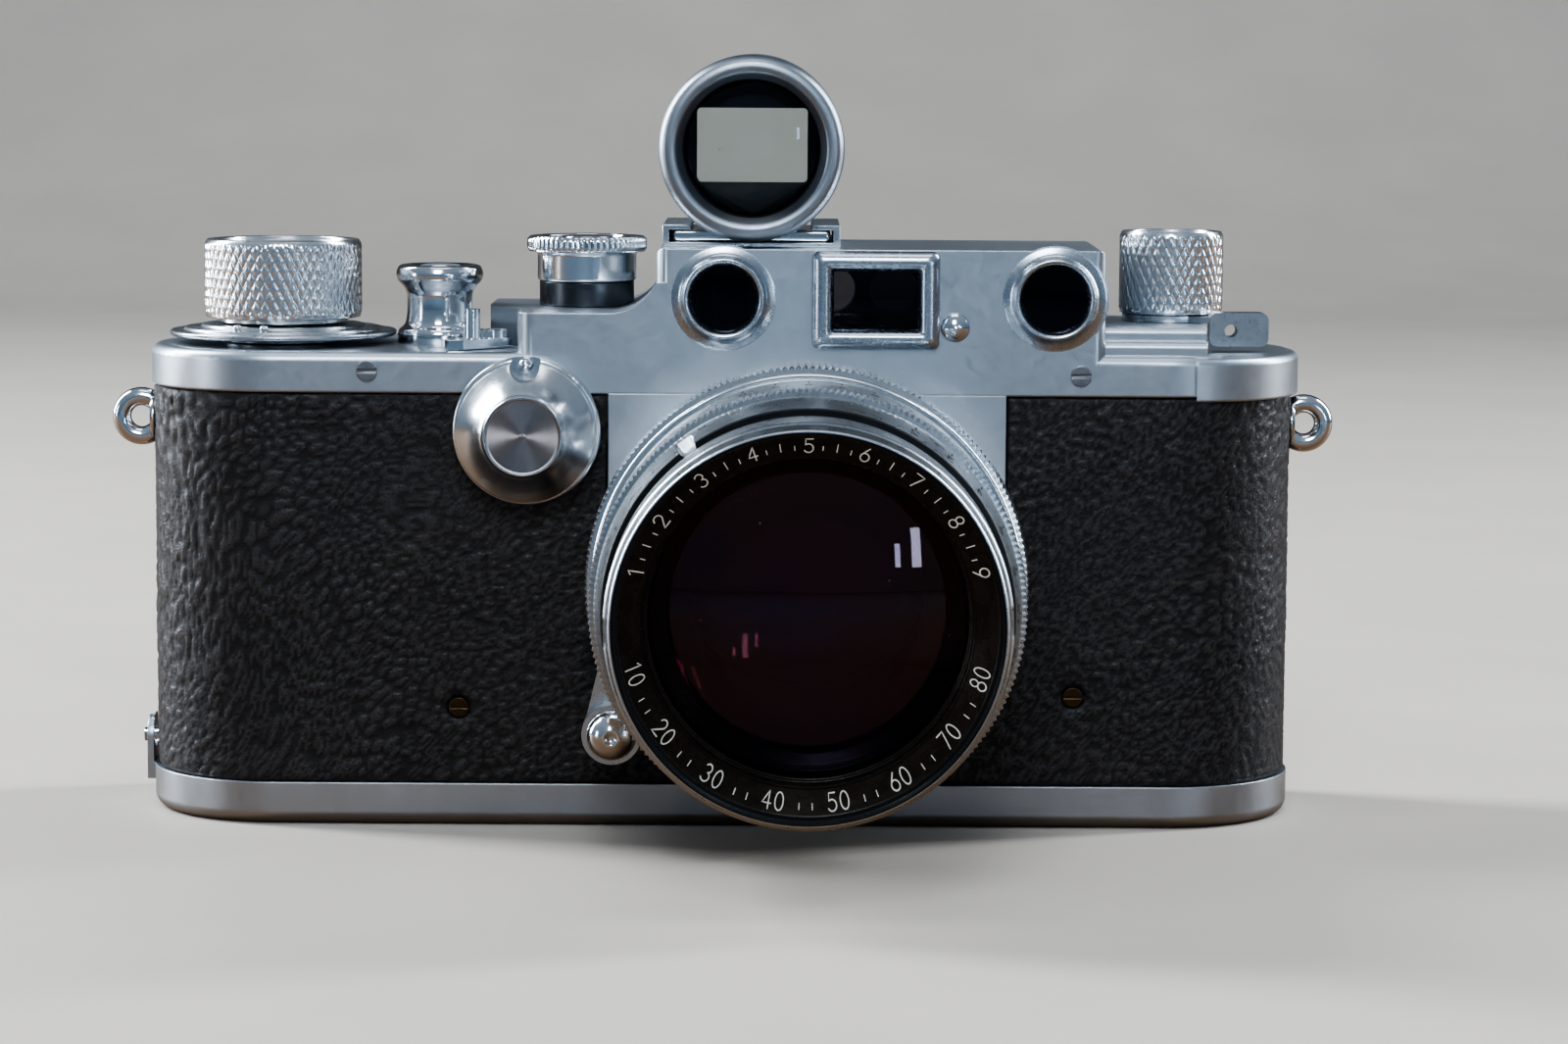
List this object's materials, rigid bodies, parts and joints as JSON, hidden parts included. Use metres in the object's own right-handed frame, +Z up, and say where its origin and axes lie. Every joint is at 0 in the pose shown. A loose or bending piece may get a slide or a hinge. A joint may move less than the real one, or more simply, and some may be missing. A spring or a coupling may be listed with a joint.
{
  "type": "rangefinder camera",
  "caption": "Compact rangefinder film camera with knob wind, front slow-speed dial, a fast screw-mount lens with focusing and aperture rings, and a round accessory finder in its shoe.",
  "frame": {"origin": "middle of the base plate's underside, under the middle of the body", "axes": "+X along the body towards the rewind knob, -Y out of the lens, +Y out of the back, +Z up"},
  "size_m": [0.1455, 0.0875, 0.0897],
  "materials": {
    "alu": "die-cast light alloy",
    "black": "matt black paint",
    "brass": "aged brass",
    "bright": "polished chrome",
    "chrome": "satin chrome plating",
    "cloth": "rubberised shutter cloth",
    "covering": "black pebble-grained covering",
    "glass": "coated optical glass",
    "steel": "plain steel"
  },
  "bodies": {
    "camera_body": {"body_shell": "alu", "body_covering": "covering", "top_cover": "chrome", "cover_screws": "bright", "covering_screws": "brass", "lens_mount": "chrome", "strap_lugs": "bright", "base_stud": "bright", "rf_windows": "glass", "window_collars": "bright", "viewfinder_bezel": "bright", "viewfinder_glass": "glass", "adjuster_cap": "bright", "accessory_shoe": "bright", "release_collar": "bright", "shutter_crate": "alu", "shutter_curtains": "cloth", "pressure_plate": "black", "eyepiece_block": "chrome"},
    "winder": {"wind_knob": "bright", "wind_shaft": "steel"},
    "counter": {"counter_dial": "chrome"},
    "spool": {"take_up_spool": "black"},
    "sprocket": {"sprocket_shaft": "steel"},
    "drum": {"shutter_drum": "steel"},
    "dial_lift": {"speed_bush": "steel"},
    "speed_setting": {"speed_dial": "bright"},
    "slow_setting": {"slow_speed_dial": "bright"},
    "slow_lock": {"slow_dial_button": "bright"},
    "release": {"release_button": "bright"},
    "wind_rewind_switch": {"rewind_lever": "bright"},
    "rewinder": {"rewind_shaft": "steel"},
    "rewind_grip": {"rewind_knob": "bright"},
    "diopter": {"diopter_lever": "bright"},
    "eyepiece_focus": {"eyepiece_lens": "glass"},
    "rangefinder_arm": {"rf_arm": "steel"},
    "base": {"base_plate": "chrome", "tripod_bush": "brass"},
    "base_lock": {"base_key": "bright", "locking_bolt": "steel"},
    "key_flap": {"base_key_flap": "bright"},
    "finder": {"finder_body": "chrome", "finder_mask": "black", "finder_front_lens": "glass", "finder_eye_lens": "glass"},
    "lens": {"lens_base": "chrome"},
    "focuser": {"focus_ring": "chrome", "infinity_lock": "chrome"},
    "lock_button": {"infinity_button": "bright"},
    "lens_head": {"front_barrel": "chrome", "front_rim": "chrome", "name_ring": "black", "front_element": "glass", "rear_element": "glass"},
    "aperture": {"aperture_ring": "chrome"},
    "blade_1": {"iris_blade_1": "black"},
    "blade_2": {"iris_blade_2": "black"},
    "blade_3": {"iris_blade_3": "black"},
    "blade_4": {"iris_blade_4": "black"},
    "blade_5": {"iris_blade_5": "black"}
  },
  "joints": [
    {"name": "wind_turn", "type": "hinge", "parent": "camera_body", "child": "winder", "pos_m": [-0.0523, 0, 0.06], "axis": [0, 0, 1], "continuous": true},
    {"name": "counter_turn", "type": "hinge", "parent": "camera_body", "child": "counter", "pos_m": [-0.0523, 0, 0.057], "axis": [0, 0, 1], "continuous": true},
    {"name": "spool_turn", "type": "hinge", "parent": "camera_body", "child": "spool", "pos_m": [-0.0523, 0, 0.027], "axis": [0, 0, 1], "continuous": true},
    {"name": "sprocket_turn", "type": "hinge", "parent": "camera_body", "child": "sprocket", "pos_m": [-0.0337, 0, 0.027], "axis": [0, 0, 1], "continuous": true},
    {"name": "drum_turn", "type": "hinge", "parent": "camera_body", "child": "drum", "pos_m": [-0.0162, 0, 0.03], "axis": [0, 0, 1], "continuous": true},
    {"name": "speed_dial_lift", "type": "slide", "parent": "drum", "child": "dial_lift", "axis": [0, 0, 1], "range_m": [0, 0.0015], "stiffness_N_per_m": 150},
    {"name": "speed_dial_turn", "type": "hinge", "parent": "dial_lift", "child": "speed_setting", "pos_m": [-0.0162, 0, 0.066], "axis": [0, 0, 1], "range_deg": [0, 320]},
    {"name": "slow_dial_turn", "type": "hinge", "parent": "camera_body", "child": "slow_setting", "pos_m": [-0.0224, -0.02, 0.04645], "axis": [0, -1, 0], "range_deg": [0, 280]},
    {"name": "slow_dial_lock", "type": "slide", "parent": "slow_setting", "child": "slow_lock", "axis": [0, 1, 0], "range_m": [0, 0.0004], "stiffness_N_per_m": 400},
    {"name": "release_press", "type": "slide", "parent": "camera_body", "child": "release", "axis": [0, 0, -1], "range_m": [0, 0.0025], "stiffness_N_per_m": 300},
    {"name": "switch_turn", "type": "hinge", "parent": "camera_body", "child": "wind_rewind_switch", "pos_m": [-0.0272, -0.0075, 0.056], "axis": [0, 0, -1], "range_deg": [0, 35]},
    {"name": "rewind_turn", "type": "hinge", "parent": "camera_body", "child": "rewinder", "pos_m": [0.0532, 0, 0.055], "axis": [0, 0, 1], "continuous": true},
    {"name": "rewind_knob_lift", "type": "slide", "parent": "rewinder", "child": "rewind_grip", "axis": [0, 0, 1], "range_m": [0, 0.006]},
    {"name": "diopter_turn", "type": "hinge", "parent": "camera_body", "child": "diopter", "pos_m": [0.0532, 0, 0.059], "axis": [0, 0, 1], "range_deg": [0, 60]},
    {"name": "eyepiece_travel", "type": "slide", "parent": "camera_body", "child": "eyepiece_focus", "axis": [0, 1, 0], "range_m": [0, 0.001]},
    {"name": "rangefinder_swing", "type": "hinge", "parent": "camera_body", "child": "rangefinder_arm", "pos_m": [-0.004, -0.009, 0.052], "axis": [0, 0, -1], "range_deg": [0, 12.4]},
    {"name": "base_open", "type": "hinge", "parent": "camera_body", "child": "base", "pos_m": [-0.0679, 0, 0.0103], "axis": [0, 1, 0], "range_deg": [0, 20]},
    {"name": "base_key_turn", "type": "hinge", "parent": "base", "child": "base_lock", "pos_m": [0.05, 0, 0.001], "axis": [0, 0, 1], "range_deg": [0, 180]},
    {"name": "flap_fold", "type": "hinge", "parent": "base_lock", "child": "key_flap", "pos_m": [0.05, 0, 0.0005], "axis": [1, 0, 0], "range_deg": [0, 90]},
    {"name": "finder_slide", "type": "slide", "parent": "camera_body", "child": "finder", "axis": [0, 1, 0], "range_m": [0, 0.02]},
    {"name": "lens_removal", "type": "slide", "parent": "camera_body", "child": "lens", "axis": [0, -1, 0], "range_m": [0, 0.009]},
    {"name": "focus_turn", "type": "hinge", "parent": "lens", "child": "focuser", "pos_m": [0.01, -0.03, 0.031], "axis": [0, -1, 0], "range_deg": [0, 170]},
    {"name": "infinity_release", "type": "slide", "parent": "focuser", "child": "lock_button", "axis": [0, 1, 0], "range_m": [0, 0.0008], "stiffness_N_per_m": 400},
    {"name": "focus_travel", "type": "slide", "parent": "lens", "child": "lens_head", "axis": [0, -1, 0], "range_m": [0, 0.003]},
    {"name": "aperture_turn", "type": "hinge", "parent": "lens_head", "child": "aperture", "pos_m": [0.01, -0.055, 0.031], "axis": [0, -1, 0], "range_deg": [0, 80]},
    {"name": "blade_1_turn", "type": "hinge", "parent": "lens_head", "child": "blade_1", "pos_m": [0.0264, -0.0412, 0.031], "axis": [0, -1, 0], "range_deg": [0, 30]},
    {"name": "blade_2_turn", "type": "hinge", "parent": "lens_head", "child": "blade_2", "pos_m": [0.01507, -0.0412, 0.0466], "axis": [0, -1, 0], "range_deg": [0, 30]},
    {"name": "blade_3_turn", "type": "hinge", "parent": "lens_head", "child": "blade_3", "pos_m": [-0.00327, -0.0412, 0.04064], "axis": [0, -1, 0], "range_deg": [0, 30]},
    {"name": "blade_4_turn", "type": "hinge", "parent": "lens_head", "child": "blade_4", "pos_m": [-0.00327, -0.0412, 0.02136], "axis": [0, -1, 0], "range_deg": [0, 30]},
    {"name": "blade_5_turn", "type": "hinge", "parent": "lens_head", "child": "blade_5", "pos_m": [0.01507, -0.0412, 0.0154], "axis": [0, -1, 0], "range_deg": [0, 30]}
  ],
  "couplings": [
    {"joint": "spool_turn", "follows": "wind_turn", "ratio": 1},
    {"joint": "counter_turn", "follows": "wind_turn", "ratio": 0.025},
    {"joint": "sprocket_turn", "follows": "wind_turn", "ratio": -1},
    {"joint": "drum_turn", "follows": "wind_turn", "ratio": -1},
    {"joint": "focus_travel", "follows": "focus_turn", "m_per_rad": 0.001011},
    {"joint": "rangefinder_swing", "follows": "focus_turn", "ratio": 0.07287},
    {"joint": "eyepiece_travel", "follows": "diopter_turn", "m_per_rad": 0.00095483},
    {"joint": "blade_1_turn", "follows": "aperture_turn", "ratio": 0.375},
    {"joint": "blade_2_turn", "follows": "aperture_turn", "ratio": 0.375},
    {"joint": "blade_3_turn", "follows": "aperture_turn", "ratio": 0.375},
    {"joint": "blade_4_turn", "follows": "aperture_turn", "ratio": 0.375},
    {"joint": "blade_5_turn", "follows": "aperture_turn", "ratio": 0.375}
  ]
}
